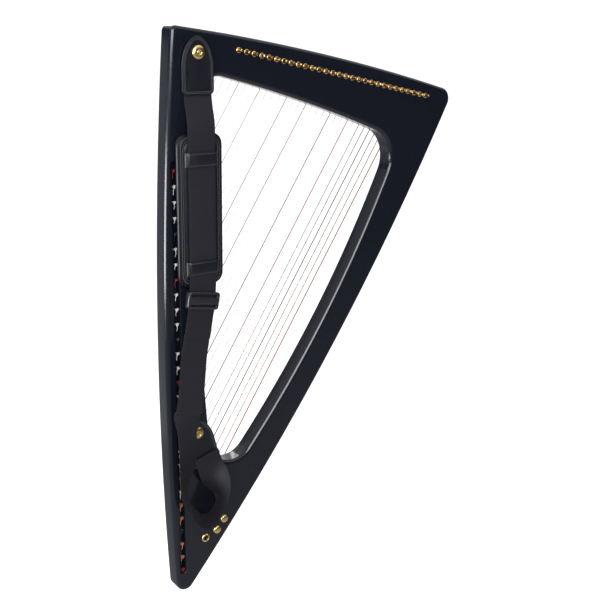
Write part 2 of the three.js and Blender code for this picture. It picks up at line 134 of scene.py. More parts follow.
# ---------- materials ----------
class Finish:
    """A node material: a Principled shader with helpers for the textures that drive it."""

    def __init__(self, name, color, roughness, metallic=0.0, **sockets):
        self.material = bpy.data.materials.new(name)
        self.material.use_nodes = True
        self.tree = self.material.node_tree
        self.shader = self.tree.nodes["Principled BSDF"]
        self.color = color
        self.set("Base Color", (*color, 1))
        self.set("Roughness", roughness)
        self.set("Metallic", metallic)
        for socket, value in sockets.items():
            self.set(socket.replace("_", " "), value)
        self.height = None

    def set(self, socket, value):
        self.shader.inputs[socket].default_value = value

    def node(self, kind, **values):
        made = self.tree.nodes.new(kind)
        for key, value in values.items():
            if hasattr(made, key):
                setattr(made, key, value)
            else:
                made.inputs[key.replace("_", " ")].default_value = value
        return made

    def link(self, output, entry):
        self.tree.links.new(output, entry)

    def coordinates(self, stretch=(1, 1, 1), uv=False):
        source = self.node("ShaderNodeTexCoord")
        mapping = self.node("ShaderNodeMapping")
        mapping.inputs["Scale"].default_value = stretch
        self.link(source.outputs["UV" if uv else "Object"], mapping.inputs["Vector"])
        return mapping.outputs["Vector"]

    def noise(self, scale, detail=4.0, stretch=(1, 1, 1), uv=False):
        made = self.node("ShaderNodeTexNoise", Scale=scale, Detail=detail)
        self.link(self.coordinates(stretch, uv), made.inputs["Vector"])
        return made.outputs["Fac"]

    def cells(self, scale):
        made = self.node("ShaderNodeTexVoronoi", Scale=scale)
        made.feature = "SMOOTH_F1"
        self.link(self.coordinates(), made.inputs["Vector"])
        return made.outputs["Distance"]

    def waves(self, scale, direction, uv=False):
        made = self.node("ShaderNodeTexWave", Scale=scale)
        made.bands_direction = direction
        self.link(self.coordinates(uv=uv), made.inputs["Vector"])
        return made.outputs["Fac"]

    def between(self, factor, low, high, start, end):
        made = self.node(
            "ShaderNodeMapRange", From_Min=start, From_Max=end, To_Min=low, To_Max=high
        )
        self.link(factor, made.inputs["Value"])
        return made.outputs["Result"]

    def math(self, operation, first, second):
        made = self.node("ShaderNodeMath", operation=operation)
        for entry, value in zip(made.inputs, (first, second)):
            if isinstance(value, (int, float)):
                entry.default_value = value
            else:
                self.link(value, entry)
        return made.outputs["Value"]

    def rough(self, factor, low, high, start=0.3, end=0.7):
        """Roughness between low and high as the factor goes from start to end."""
        self.link(self.between(factor, low, high, start, end), self.shader.inputs["Roughness"])

    def tint(self, factor, other, start=0.3, end=0.7):
        """The finish's own colour, going over to the other one with the factor."""
        mix = self.node("ShaderNodeMix", data_type="RGBA")
        self.link(self.between(factor, 0, 1, start, end), mix.inputs["Factor"])
        colors = [entry for entry in mix.inputs if entry.type == "RGBA"]
        colors[0].default_value = (*self.color, 1)
        colors[1].default_value = (*other, 1)
        result = [output for output in mix.outputs if output.type == "RGBA"][0]
        self.link(result, self.shader.inputs["Base Color"])

    def bump(self, factor, depth):
        """Relief of depth millimetres, on top of any that is there already."""
        made = self.node("ShaderNodeBump", Strength=1, Distance=depth * MM)
        self.link(factor, made.inputs["Height"])
        if self.height is not None:
            self.link(self.height, made.inputs["Normal"])
        self.height = made.outputs["Normal"]
        self.link(self.height, self.shader.inputs["Normal"])


def lacquer():
    made = Finish("lacquer", (0.0042, 0.0056, 0.0098), 0.14, Specular_IOR_Level=0.5)
    made.tint(made.noise(4, 3), (0.0056, 0.0066, 0.0112))
    made.rough(made.noise(9, 6), 0.12, 0.19)
    made.bump(made.noise(520, 2), 0.004)
    return made.material


def polished(name, color, low, high):
    made = Finish(name, color, low, 1.0)
    made.rough(made.noise(300, 5), low, high)
    made.tint(made.noise(60, 3), [0.85 * part for part in color])
    made.bump(made.noise(900, 3, (1, 1, 6)), 0.006)
    return made.material


def nylon(name, color, clear):
    made = Finish(name, color, 0.28, Transmission_Weight=clear, IOR=1.53)
    made.tint(made.noise(150, 2), [0.8 * part for part in color])
    return made.material


def wound(name, color):
    made = Finish(name, color, 0.35, 1.0)
    made.tint(made.noise(180, 3), [0.7 * part for part in color])
    made.bump(made.waves(420, "Z"), 0.12)
    return made.material


def leather(name, color, grain, depth):
    made = Finish(name, color, 0.4, Specular_IOR_Level=0.34)
    made.tint(made.noise(35, 5), [1.5 * part for part in color])
    made.rough(made.noise(60, 4), 0.3, 0.42)
    made.bump(made.cells(grain), depth)
    made.bump(made.noise(grain * 2.2, 3), depth * 0.5)
    return made.material


def woven(name, color, ribs, uv=True):
    """Webbing: fine ribs across the tape over a twill of its lengthwise threads."""
    sheen = {"Sheen_Weight": 0.03, "Sheen_Roughness": 0.35}
    made = Finish(name, color, 0.6, Specular_IOR_Level=0.25, **sheen)
    across = made.waves(ribs, "Y", uv)
    twill = made.waves(ribs * 0.8, "DIAGONAL", uv)
    weave = made.math("MULTIPLY", across, twill)
    made.tint(weave, [1.6 * part for part in color], 0.1, 0.9)
    made.rough(made.noise(14, 4), 0.5, 0.66)
    made.bump(weave, 0.12)
    return made.material


def plastic(name, color, low, high, grain=700, depth=0.02):
    made = Finish(name, color, low)
    made.rough(made.noise(45, 4), low, high)
    made.tint(made.noise(20, 3), [1.5 * part for part in color])
    made.bump(made.noise(grain, 2), depth)
    return made.material


def wood(name, color, dark):
    made = Finish(name, color, 0.5, Specular_IOR_Level=0.35)
    made.tint(made.noise(120, 8, (1, 1, 0.06)), dark)
    made.rough(made.noise(90, 5, (1, 1, 0.1)), 0.42, 0.62)
    made.bump(made.noise(300, 5, (1, 1, 0.05)), 0.06)
    return made.material


def brushed(name, color, low, high, stretch):
    made = Finish(name, color, low, 1.0)
    made.rough(made.noise(400, 5, stretch), low, high)
    made.tint(made.noise(80, 3, stretch), [0.85 * part for part in color])
    made.bump(made.noise(700, 4, stretch), 0.01)
    return made.material


LACQUER = lacquer()
GOLD = polished("gold", (1.0, 0.76, 0.34), 0.24, 0.34)
BRIGHT_GOLD = polished("bright_gold", (1.0, 0.72, 0.34), 0.08, 0.14)
BRASS = polished("satin_brass", (0.72, 0.52, 0.22), 0.3, 0.45)
BUSH = plastic("black_bush", (AXIS, 0.01, 0.011), 0.4, 0.5)
STEEL = brushed("nickel", (0.6, 0.61, 0.63), 0.25, 0.4, (1, 1, 1))
PICKUP = brushed("pickup_metal", (0.55, 0.54, 0.52), 0.35, 0.5, (1, 1, 0.05))
CLEAR = nylon("clear_nylon", (0.8, 0.8, 0.78), 0.15)
RED = nylon("red_nylon", (0.22, 0.01, 0.014), 0.0)
BLACK = nylon("black_nylon", (0.012, 0.012, 0.016), 0.0)
WOUND = wound("wound_string", (0.5, 0.45, 0.38))
DARK_WOUND = wound("wound_dark", (0.1, 0.1, 0.11))
SILK = woven("orange_silk", (0.32, 0.13, 0.05), 600, uv=False)
LEATHER = leather("leather", (0.0048, 0.0055, 0.0085), 900, 0.03)
PAD_LEATHER = leather("pad_leather", (0.0036, 0.0045, 0.0072), 700, 0.03)
PIPING = leather("piping", (0.0026, 0.003, 0.0046), 1100, 0.02)
WEBBING = woven("webbing", (0.0078, 0.0072, 0.0112), 0.42)
THREAD = woven("thread", (0.07, 0.07, 0.078), 300, uv=False)
PLASTIC = plastic("slider_plastic", (0.009, 0.009, 0.012), 0.16, 0.24)
COVER_PLASTIC = plastic("cover_plastic", (0.016, 0.016, 0.018), 0.4, 0.6, 350, 0.06)
BOARD = plastic("board", (0.03, 0.13, 0.06), 0.35, 0.5)
CELL = plastic("battery_sleeve", (0.3, 0.3, 0.32), 0.3, 0.4)
ROSEWOOD = wood("rosewood", (0.14, 0.065, 0.035), (0.05, 0.022, 0.014))


# ---------- mesh building ----------
class Shape:
    """Points in millimetres and faces over them. A flat face keeps its own normal."""

    def __init__(self):
        self.points = []
        self.faces = []
        self.flat = []
        self.uvs = {}

    def add(self, points):
        start = len(self.points)
        self.points.extend(Vector(point) for point in points)
        return list(range(start, len(self.points)))

    def face(self, indices, flat=False):
        self.faces.append(tuple(indices))
        self.flat.append(flat)

    def bridge(self, ring, other):
        count = len(ring)
        for i in range(count):
            j = (i + 1) % count
            self.face((ring[i], ring[j], other[j], other[i]))

    def loft(self, rings, caps=False):
        """Joins each ring to the next, with a flat cap at both ends if asked. Returns the rings."""
        made = [self.add(ring) for ring in rings]
        for ring, other in zip(made, made[1:]):
            self.bridge(ring, other)
        if caps:
            self.face(made[0], True)
            self.face(made[-1], True)
        return made

    def lathe(self, x, z, profile, sides, caps=False, start=0.0):
        """Turns a profile of radius and y about an axis along Y. Returns the rings."""
        return self.loft([circle(x, z, radius, y, sides, start) for radius, y in profile], caps)

    def hoop(self, x, z, profile, sides):
        """Turns a closed profile into a ring with a hole through it."""
        made = self.lathe(x, z, profile, sides)
        self.bridge(made[-1], made[0])

    def fill(self, loops):
        """Triangles over flat loops of indices: the first is the border, the others are holes."""
        flat = [index for loop in loops for index in loop]
        for a, b, c in tessellate_polygon([[self.points[i] for i in loop] for loop in loops]):
            self.face((flat[a], flat[b], flat[c]), True)

    def moved(self, turn=0.0, x=0.0, z=0.0, y=0.0):
        """Turned about Y and then moved."""
        matrix = Matrix.Translation((x, y, z)) @ Matrix.Rotation(turn, 4, "Y")
        self.points = [matrix @ point for point in self.points]
        return self

    def join(self, other):
        start = len(self.points)
        self.points.extend(other.points)
        self.faces.extend(tuple(i + start for i in face) for face in other.faces)
        self.flat.extend(other.flat)
        return self

    def piece(self, name, material, body="harp", slot=None, replaces=(), angle=40):
        mesh = bpy.data.meshes.new(name)
        mesh.from_pydata([point * MM for point in self.points], [], self.faces)
        mesh.polygons.foreach_set("use_smooth", [not flat for flat in self.flat])
        if self.uvs:
            layer = mesh.uv_layers.new(name="tape")
            for loop in mesh.loops:
                layer.data[loop.index].uv = self.uvs[loop.vertex_index]
        work = bmesh.new()
        work.from_mesh(mesh)
        bmesh.ops.recalc_face_normals(work, faces=work.faces)
        work.to_mesh(mesh)
        work.free()
        mesh.set_sharp_from_angle(angle=radians(angle))
        mesh.materials.append(material)
        made = bpy.data.objects.new(name, mesh)
        show(made)
        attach(made, body)
        if replaces:
            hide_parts(*replaces)
        return made


def circle(x, z, radius, y, sides, start=0.0):
    angles = [start + TAU * i / sides for i in range(sides)]
    return [(x + radius * cos(a), y, z + radius * sin(a)) for a in angles]


def turned(x, z, profile, sides):
    """A closed turned shape on an axis along Y, from a profile of radius and y."""
    shape = Shape()
    shape.lathe(x, z, profile, sides, True)
    return shape


def tube(points, radius, sides=8, caps=True):
    """A round tube along points."""
    points = [Vector(point) for point in points]
    last = len(points) - 1
    tangents = [
        (points[min(i + 1, last)] - points[max(i - 1, 0)]).normalized() for i in range(last + 1)
    ]
    side = tangents[0].orthogonal().normalized()
    rings = []
    for point, tangent in zip(points, tangents):
        side = (side - tangent * side.dot(tangent)).normalized()
        other = tangent.cross(side)
        angles = [TAU * k / sides for k in range(sides)]
        rings.append([point + (side * cos(a) + other * sin(a)) * radius for a in angles])
    shape = Shape()
    shape.loft(rings, caps)
    return shape


def spline(keys, steps):
    """Catmull-Rom points through keys, each a list of numbers."""
    keys = [Vector(key) for key in keys]
    padded = [2 * keys[0] - keys[1], *keys, 2 * keys[-1] - keys[-2]]
    points = []
    for a, b, c, d in zip(padded, padded[1:], padded[2:], padded[3:]):
        for i in range(steps):
            t = i / steps
            square = (2 * a - 5 * b + 4 * c - d) * t * t
            cube = (3 * b - a - 3 * c + d) * t * t * t
            points.append(0.5 * (2 * b + (c - a) * t + square + cube))
    points.append(keys[-1])
    return points


def cubic(a, b, c, d, t):
    """A point of the Bezier curve from a to d."""
    s = 1 - t
    return a * s**3 + b * 3 * s * s * t + c * 3 * s * t * t + d * t**3


def bowed_outline(corners, side_steps, corner_steps):
    """A closed outline of bowed sides that meet in rounded corners, as X-Z points."""
    points = [Vector((x, z)) for x, z, _, _ in corners]
    count = len(points)
    middle = sum(points, Vector((0, 0))) / count
    cuts = []
    for i, point in enumerate(points):
        before = (points[i - 1] - point).normalized()
        after = (points[(i + 1) % count] - point).normalized()
        cuts.append(corners[i][2] / tan(acos(before.dot(after)) / 2))
    sides = []
    for i, start in enumerate(points):
        end = points[(i + 1) % count]
        along = end - start
        out = Vector((-along.y, along.x)).normalized()
        if out.dot((start + end) / 2 - middle) < 0:
            out.negate()
        control = (start + end) / 2 + out * 2 * corners[i][3]
        span = (cuts[i] / along.length, 1 - cuts[(i + 1) % count] / along.length)

        def at(u, v, curve=(start, control, end)):
            return curve[0].lerp(curve[1], u).lerp(curve[1].lerp(curve[2], u), v)

        sides.append([at(span[0], span[0]), at(*span), at(span[1], span[1])])
    outline = []
    for i, (start, control, end) in enumerate(sides):
        for k in range(side_steps):
            t = k / side_steps
            outline.append(start.lerp(control, t).lerp(control.lerp(end, t), t))
        next_start, next_control, _ = sides[(i + 1) % count]
        inward = (end - control).normalized()
        outward = (next_control - next_start).normalized()
        turn = acos(inward.dot(outward))
        handle = 2 / 3 * tan(turn / 4) * (end - next_start).length / sin(turn / 2)
        first, last = end + inward * handle, next_start - outward * handle
        for k in range(corner_steps):
            outline.append(cubic(end, first, last, next_start, k / corner_steps))
    return outline


def offset(outline, distance):
    """The outline moved sideways: inwards where distance is positive, for either direction."""
    count = len(outline)
    area = sum(
        outline[i - 1].x * outline[i].y - outline[i].x * outline[i - 1].y for i in range(count)
    )
    sign = 1 if area > 0 else -1
    moved = []
    for i, point in enumerate(outline):
        tangent = (outline[(i + 1) % count] - outline[i - 1]).normalized()
        moved.append(point + Vector((-tangent.y, tangent.x)) * distance * sign)
    return moved


def at_depth(outline, y):
    return [(point.x, y, point.y) for point in outline]


def stepped(outline, steps):
    """A ring for each step, which says how far in and how deep."""
    return [at_depth(offset(outline, distance), y) for distance, y in steps]


def slot_outline(half_width, half_height, corner, x=0.0, z=0.0, steps=8):
    """A rectangle with round corners as X-Z points."""
    outline = []
    for k, (sx, sz) in enumerate(((1, -1), (1, 1), (-1, 1), (-1, -1))):
        centre = Vector((x + sx * (half_width - corner), z + sz * (half_height - corner)))
        start = -pi / 2 + k * pi / 2
        for i in range(steps + 1):
            angle = start + pi / 2 * i / steps
            outline.append(centre + Vector((cos(angle), sin(angle))) * corner)
    return outline


def eased(rim, steps):
    """A quarter round of an edge: how far in from the side, and how far down from the face."""
    angles = [k * pi / 2 / steps for k in range(steps + 1)]
    return [(rim * (1 - sin(a)), rim * (1 - cos(a))) for a in angles]


def plate(outline, front, back, rim):
    """A flat piece between two depths with rounded rims."""
    steps = [(rim * 1.6, front)] + [(d, front + y) for d, y in eased(rim, 3)]
    steps += [(d, back - y) for d, y in reversed(eased(rim, 3))] + [(rim * 1.6, back)]
    shape = Shape()
    made = shape.loft(stepped(outline, steps))
    shape.fill([made[0]])
    shape.fill([made[-1]])
    return shape


def pin_place(number):
    """Where the pin's axis meets the front face."""
    share = (number - 1) / (STRINGS - 1)
    x, z = Vector(FIRST_PIN).lerp(Vector(LAST_PIN), share)
    return Vector((x, 0, z))


def string_height(number, x):
    """The height of the string's line where it passes x."""
    pin = pin_place(number)
    return pin.z + (x - pin.x) * DOWN.z / DOWN.x


def string_radius(number):
    return THINNEST + (THICKEST - THINNEST) * (number - 1) / (STRINGS - 1)


# ---------- body ----------
def bay_outline(grow):
    half_length = (BAY_HIGH - BAY_LOW) / 2 + grow
    middle = (BAY_HIGH + BAY_LOW) / 2
    outline = slot_outline(BAY_HALF + grow, half_length, 6 + grow / 2, 0, middle, 5)
    return [bay_place(p.x, p.y) for p in outline]


def bay_place(along, up):
    """A point in the bay's own turned axes, brought into the frame's."""
    c, s = cos(BAY_TURN), sin(BAY_TURN)
    return Vector((BAY_AT[0] + along * c + up * s, BAY_AT[1] - along * s + up * c))


def frame_body():
    """The lacquered frame in one skin: bowed sides with rounded edges, pin holes, channel and bay."""
    shape = Shape()
    rim = eased(EDGE, 10)
    inner = EDGE + 0.5  # a first ring on the flat face keeps its shading even
    fronts, backs = [], []
    for corners, inward in ((OUTER, 1), (OPENING, -1)):
        outline = bowed_outline(corners, 60, 24)
        steps = [(inner, 0)] + rim + [(d, THICKNESS - y) for d, y in reversed(rim)]
        steps.append((inner, THICKNESS))
        made = shape.loft(stepped(outline, [(inward * d, y) for d, y in steps]))
        fronts.append(made[0])
        backs.append(made[-1])
    for number in NUMBERS:
        pin = pin_place(number)
        made = shape.lathe(pin.x, pin.z, [(PIN_HOLE, 0), (PIN_HOLE, THICKNESS)], 16)
        fronts.append(made[0])
        backs.append(made[-1])
    fronts.append(channel(shape))
    bay_fronts, bay_back = bay(shape)
    fronts += bay_fronts
    backs.append(bay_back)
    shape.fill(fronts)
    shape.fill(backs)
    shape.piece("lacquered_frame", LACQUER, slot="lacquer", replaces=("soundbar", "neck", "pillar"))


def channel(shape):
    """The channel for the string knots, with eased rims. Returns its rim on the front face."""
    middle = (CHANNEL_TOP + CHANNEL_BOTTOM) / 2
    half = (CHANNEL_TOP - CHANNEL_BOTTOM) / 2
    outline = slot_outline(CHANNEL_HALF, half, CHANNEL_HALF - 0.01, CHANNEL_X, middle, 12)
    steps = [(-1.5 * CHANNEL_RIM, 0)] + [(-d, y) for d, y in eased(CHANNEL_RIM, 6)]
    steps += [(0, CHANNEL_DEPTH - 2), (0.6, CHANNEL_DEPTH - 0.6), (2, CHANNEL_DEPTH)]
    made = shape.loft(stepped(outline, steps))
    shape.fill([made[-1]])
    return made[0]


def bay(shape):
    """The electronics bay, open to the back. Returns the holes in the front face and its rim."""
    rebate, hollow = bay_outline(BAY_LEDGE), bay_outline(0)
    ledge = THICKNESS - COVER - 0.3
    steps = ((rebate, THICKNESS), (rebate, ledge), (hollow, ledge), (hollow, BAY_WALL))
    made = shape.loft([at_depth(outline, y) for outline, y in steps])
    holes = []
    for (x, z), radius in [(place, KNOB_HOLE) for place in KNOBS.values()] + [(JACK, JACK_HOLE)]:
        holes.append(shape.lathe(x, z, [(radius, 0), (radius, BAY_WALL)], 24))
    shape.fill([made[-1]] + [hole[-1] for hole in holes])
    return [hole[0] for hole in holes], made[0]


frame_body()


# ---------- tuning pins ----------
def tuning_pin(number):
    """A plated pin: a square end for the key, a tapered shank and the string's windings."""
    pin = pin_place(number)
    shape = Shape()
    square = 1.9

    def square_ring(half, y):
        outline = slot_outline(half, half, 0.4, 0, 0, 3)
        turn = radians(20 + 37 * number)
        c, s = cos(turn), sin(turn)
        return [(pin.x + p.x * c - p.y * s, y, pin.z + p.x * s + p.y * c) for p in outline]

    count = len(square_ring(1, 0))
    rings = [square_ring(square - 0.6, PIN_FRONT), square_ring(square - 0.25, PIN_FRONT + 0.2)]
    rings += [square_ring(square, PIN_FRONT + 0.7), square_ring(square, 1.2)]
    shank = [(2.6, 1.8), (PIN_RADIUS, 2.6), (PIN_RADIUS, PIN_BACK - 0.8)]
    shank += [(PIN_RADIUS - 0.25, PIN_BACK - 0.25), (PIN_RADIUS - 0.9, PIN_BACK)]
    start = atan2(rings[-1][0][2] - pin.z, rings[-1][0][0] - pin.x)
    rings += [circle(pin.x, pin.z, radius, y, count, start) for radius, y in shank]
    shape.loft(rings, True)
    name = f"pin_{number:02d}"
    shape.piece(name, BRIGHT_GOLD, name, "gold", (f"tuning_{name}",))
    winding(number, pin).piece(f"winding_{number:02d}", string_finish(number), name)


def winding(number, pin):
    """Four turns of the string round its pin, from where it leaves towards the front."""
    radius = string_radius(number)
    reach = PIN_RADIUS + radius * 0.9
    leave = atan2(-ACROSS.z, -ACROSS.x)
    coil = []
    for k in range(4 * 16 + 1):
        angle = leave - k * TAU / 16
        y = STRING_AT_PIN - k / 16 * 2.05 * radius
        coil.append((pin.x + reach * cos(angle), y, pin.z + reach * sin(angle)))
    return tube(coil, radius, 6)


def string_finish(number):
    """C strings are red and F strings dark, and the longest strings are wound."""
    note = (number - 1) % 7
    if number >= FIRST_WOUND:
        return {0: RED, 4: DARK_WOUND}.get(note, WOUND)
    return {0: RED, 4: BLACK}.get(note, CLEAR)


def collars():
    """Ring bushings round the pins, on the front and the back of the neck."""
    shape = Shape()
    front = [(3.5, 0.4), (3.55, -0.9), (3.7, -1.3), (4.0, -1.5), (4.4, -1.3), (4.7, -0.7), (4.8, 0)]
    for number in NUMBERS:
        pin = pin_place(number)
        for profile in (front, [(radius, THICKNESS - y) for radius, y in front]):
            shape.hoop(pin.x, pin.z, profile, 24)
    shape.piece("pin_collars", BRIGHT_GOLD, slot="gold")


for pin_number in NUMBERS:
    tuning_pin(pin_number)
collars()


# ---------- strings ----------
NUT = 15  # the guide pin's distance below the tuning pin


def string(number):
    """One string from the pin, past its guide pin and over the bridge, into the anchor strip."""
    pin = pin_place(number)
    radius = string_radius(number)
    leave = pin - ACROSS * (PIN_RADIUS + 0.9 * radius)
    leave.y = STRING_AT_PIN
    bend = pin + DOWN * NUT
    bend.y = STRING_AT_PIN
    over = Vector((BRIDGE_X, STRING_AT_BRIDGE - 1.2 + radius, string_height(number, BRIDGE_X)))
    low = Vector((ANCHOR_X, THICKNESS + 2.2, string_height(number, ANCHOR_X)))
    path = [
        leave,
        bend - (bend - leave).normalized() * 1.5,
        bend,
        bend + (over - bend).normalized() * 1.5,
        over - (over - bend).normalized() * 2,
        over + Vector((0, 0.1, 0)),
        over + (low - over).normalized() * 2,
        low,
        low + Vector((-0.3, -2.5, 0)),
    ]
    tube(path, radius, 8).piece(f"string_{number:02d}", string_finish(number))


def knot(number):
    """The knot and tail of a string in the front channel."""
    seed = random.Random(number)
    radius = 0.5 + 0.12 * number / STRINGS
    centre = Vector((CHANNEL_X + 0.6, 3.2 + radius, string_height(number, ANCHOR_X)))
    size = 0.95 + 0.35 * number / STRINGS
    lean = Matrix.Rotation(-seed.uniform(-0.6, 0.6), 3, "Y")
    points = []
    for k in range(49):
        t = TAU * k / 48 * 0.97
        x = (sin(t) + 2 * sin(2 * t)) * size * 0.75
        z = (cos(t) - 2 * cos(2 * t)) * size
        y = -sin(3 * t) * size * 0.9
        points.append(centre + lean @ Vector((x, y, z)))
    tail = seed.uniform(7, 13)
    side = seed.choice((-1, 1))
    end = points[-1]
    points += [
        end + Vector((side * 0.6, -0.6, -2)),
        end + Vector((side * 1.3, -0.2, -0.5 * tail)),
        end + Vector((side * 0.4, 1.2, -tail)),
    ]
    hole = Vector((CHANNEL_X + 0.6, CHANNEL_DEPTH - 0.5, centre.z))
    points = [hole, hole.lerp(points[0], 0.5) + Vector((0.3, 0, 0))] + points
    finish = SILK if string_finish(number) is WOUND else string_finish(number)
    tube(points, radius, 7).piece(f"knot_{number:02d}", finish)


def anchor_strip():
    """The brass strip that the strings pass through, with an eyelet at each string and screws."""
    high, low = string_height(1, ANCHOR_X) + 9, string_height(STRINGS, ANCHOR_X) - 9
    outline = slot_outline(4.5, (high - low) / 2, 4.4, ANCHOR_X, (high + low) / 2, 8)
    shape = plate(outline, THICKNESS + 0.3, THICKNESS + 2.3, 0.5)
    screw = [(AXIS, 1.8), (2.6, 1.8), (2.5, 2.9), (1.8, 3.4), (AXIS, 3.5)]
    for number in NUMBERS:
        z = string_height(number, ANCHOR_X)
        reach = string_radius(number) + 0.7
        eyelet = [(AXIS, 2.2), (reach - 0.3, 2), (reach, 2.8), (reach + 0.4, 3), (reach + 0.9, 2.7)]
        eyelet += [(reach + 1, 2), (AXIS, 1)]
        shape.join(turned(ANCHOR_X, z, eyelet, 16).moved(y=THICKNESS))
        if number < STRINGS and number % 4 == 2:
            between = (z + string_height(number + 1, ANCHOR_X)) / 2
            shape.join(turned(ANCHOR_X, between, screw, 20).moved(y=THICKNESS))
    shape.piece("anchor_strip", BRASS, slot="brass", replaces=("string_set",))


def guide_pins():
    """The grooved brass pin that each string bends round below its tuning pin."""
    shape = Shape()
    for number in NUMBERS:
        radius = string_radius(number)
        place = pin_place(number) + DOWN * NUT - ACROSS * (radius + 0.9)
        profile = [(AXIS, 30), (1.3, 30), (1.3, STRING_AT_PIN - radius), (0.9, STRING_AT_PIN)]
        profile += [(1.3, STRING_AT_PIN + radius), (1.25, STRING_AT_PIN + 1.8), (0.6, STRING_AT_PIN + 2.3)]
        shape.join(turned(place.x, place.z, profile + [(AXIS, STRING_AT_PIN + 2.4)], 14))
    shape.piece("guide_pins", BRASS, slot="brass")


for string_number in NUMBERS:
    string(string_number)
    knot(string_number)
anchor_strip()
guide_pins()


# ---------- levers ----------
def lever(number):
    """A sharpening lever: paddle, pivot boss with its screw, and the peg that stops the string."""
    pin = pin_place(number)
    centre = pin + DOWN * LEVER_ALONG + ACROSS * LEVER_ACROSS
    outline = []
    for k in range(48):
        t = TAU * k / 48
        z = -8 + 11.4 * cos(t)
        x = 3.1 * sin(t) * (1 + 0.22 * cos(t) - 0.12 * cos(2 * t))
        outline.append(Vector((x, z)))
    arm = plate(outline, LEVER_Y, LEVER_Y + 2.3, 0.5)
    peg = turned(0, -LEVER_PEG, [(AXIS, 46), (0.7, 46), (1, 46.4), (1, 52.5), (AXIS, 52.5)], 16)
    boss = turned(0, 0, [(AXIS, 36.4), (2.9, 36.4), (2.9, 38), (2.2, 39), (2.2, 52.2), (AXIS, 52.2)], 28)
    screw = turned(0, 0, [(AXIS, 54), (1.9, 54), (1.9, 54.7), (1.5, 55), (AXIS, 55.1)], 24)
    for part in (peg, boss, screw):
        arm.join(part)
    arm.moved(STRING_ANGLE, centre.x, centre.z)
    arm.piece(f"lever_arm_{number:02d}", BRASS, f"lever_{number:02d}_arm", "brass", (f"lever_{number:02d}",))


for string_number in LEVER_STRINGS:
    lever(string_number)


# ---------- knobs, jack and strap buttons ----------
def knob(name, place):
    """A domed control knob with a knurled waist and a small pointer mark."""
    sides = 96
    profile = [(AXIS, -10), (3, -9.9), (5.2, -9.5), (6.6, -8.6), (7.3, -7.2), (7.55, -6)]
    profile += [(7.55, -5.4), (7.3, -5.1), (7.3, -4.8)]
    rings = [circle(*place, radius, y, sides) for radius, y in profile]
    for y in (-4.6, -2):
        ridges, grooves = circle(*place, 7.5, y, sides), circle(*place, 7.18, y, sides)
        rings.append([(grooves if k % 2 else ridges)[k] for k in range(sides)])
    stem = [(7, -1.6), (2.4, -1.6), (2.4, 12), (AXIS, 12)]
    rings += [circle(*place, radius, y, sides) for radius, y in stem]
    shape = Shape()
    shape.loft(rings, True)
    dot = [(AXIS, -9.95), (0.5, -9.9), (0.7, -9.5), (0.7, -8), (AXIS, -8)]
    shape.join(turned(place[0], place[1] + 5, dot, 14))
    shape.piece(f"{name}_control_knob", GOLD, f"{name}_control", "gold", (f"{name}_knob",))


def jack():
    """The jack's bevelled ring nut and its threaded bush."""
    ring = [(4.75, -0.3), (4.75, -2.6), (5, -2.9), (6.6, -2.9), (7.6, -2.2), (8, -1.4), (8, -0.3)]
    shape = Shape()
    shape.hoop(*JACK, ring, 48)
    shape.piece("jack_ring_nut", GOLD, slot="gold", replaces=("jack_nut",))
    bush = [(3.2, 24), (3.2, -2.1), (3.4, -2.4), (4.4, -2.4), (4.6, -2.1), (4.6, 6.3)]
    bush += [(8, 6.3), (8, 27), (7.5, 28.3), (AXIS, 28.3), (AXIS, 26.3), (3.2, 26)]
    shape = Shape()
    shape.hoop(*JACK, bush, 40)
    shape.piece("jack_bush", BUSH, slot="steel", replaces=("jack_socket",))


def strap_button(name, place, node):
    """A domed button held by a screw with a cross slot."""
    head = [(3.4, -11.0), (4.6, -11.8), (6.4, -11.6), (9.2, -10.9), (10.7, -9.8), (11, -9)]
    head += [(10.8, -8.2), (10, -7.8), (4.4, -7.5), (4, -7.1), (4, -3.6), (4.6, -3.1)]
    head += [(7.2, -2.5), (7.5, -2), (7.5, -0.3), (2.3, -0.3), (2.3, 20), (AXIS, 25)]
    shape = turned(*place, [(AXIS, -10.6)] + head, 48)
    shape.join(cross_screw(place))
    shape.piece(name, GOLD, slot="gold", replaces=(node,))


def cross_screw(place):
    """A raised screw head whose cross slot is sunk into it."""
    shape = Shape()
    face, arm, half, deep = -11.95, 2.5, 0.55, 1.1
    corners = [(half, half), (half, arm), (-half, arm), (-half, half), (-arm, half), (-arm, -half)]
    corners += [(-x, -z) for x, z in corners]
    x, z = place
    top, low = shape.loft(
        [[(x + u * p, y, z + u * q) for p, q in corners] for u, y in ((1, face), (0.8, face + deep))]
    )
    shape.fill([low])
    rim = shape.lathe(x, z, [(2.9, face), (3.3, -11.7), (3.4, -11), (3.4, -10.4)], 32)
    shape.face(rim[-1], True)
    shape.fill([rim[0], top])
    return shape


for control, spot in KNOBS.items():
    knob(control, spot)
jack()
strap_button("button_upper", UPPER_BUTTON, "upper_strap_button")
strap_button("button_lower", LOWER_BUTTON, "lower_strap_button")


# ---------- leather tabs ----------
TAB_HALF, TAB_TOP, TAB_BOTTOM, TAB_ARCH, TAB_CORNER = 29, 25, -66, -24, 9
TAB_FRONT, TAB_THICK = -7, 3


def tab_outline():
    """Square below with round corners, and drawn in to a round top over the button."""
    outline = []
    centre = Vector((TAB_HALF - TAB_CORNER, TAB_BOTTOM + TAB_CORNER))
    for k in range(9):
        a = -pi / 2 + k * pi / 16
        outline.append(centre + TAB_CORNER * Vector((cos(a), sin(a))))
    arch = [Vector((TAB_HALF, TAB_ARCH)), Vector((TAB_HALF, 6)), Vector((13, TAB_TOP)), Vector((0, TAB_TOP))]
    for k in range(8):
        t = k / 8
        outline.append(outline[8].lerp(arch[0], t) if k else outline[8] + Vector((0, 0.5)))
    outline += [cubic(*arch, k / 24) for k in range(25)]
    left = [Vector((-p.x, p.y)) for p in reversed(outline[:-1])]
    return outline + left


